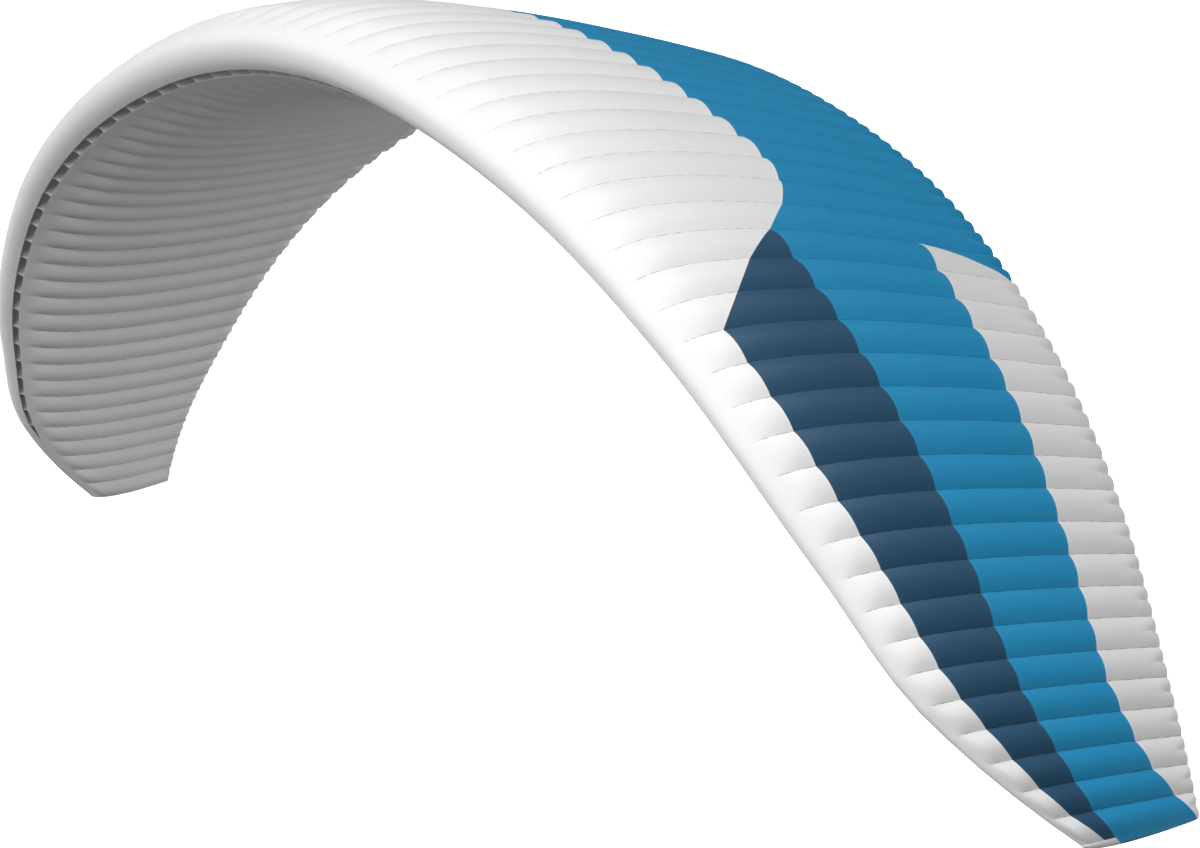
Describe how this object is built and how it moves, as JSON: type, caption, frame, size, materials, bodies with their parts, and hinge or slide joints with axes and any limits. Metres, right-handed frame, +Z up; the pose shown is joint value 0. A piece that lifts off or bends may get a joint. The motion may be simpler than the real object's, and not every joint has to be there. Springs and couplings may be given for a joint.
{
  "type": "paraglider wing",
  "caption": "Arched ram-air paraglider wing, inflated: billowed cells between ribs, open mouths under the nose, white, blue and navy cloth fields.",
  "frame": {"origin": "under the middle rib, on the lower sail's outer face at 30 per cent of the chord", "axes": "+Z up, -X the way the wing flies, +Y towards the wing's right tip"},
  "size_m": [2.4614, 9.8164, 3.233],
  "materials": {
    "white_cloth": "coated ripstop, satin",
    "blue_cloth": "coated ripstop, satin",
    "navy_cloth": "coated ripstop, satin",
    "pale_cloth": "coated ripstop, satin",
    "lower_cloth": "coated ripstop, satin"
  },
  "bodies": {
    "root": {"nose_panels": "white_cloth", "centre_panels": "blue_cloth", "navy_panels_left": "navy_cloth", "navy_panels_right": "navy_cloth", "trailing_panels_left": "pale_cloth", "trailing_panels_right": "pale_cloth", "lower_sail_and_ribs": "lower_cloth"}
  },
  "joints": []
}
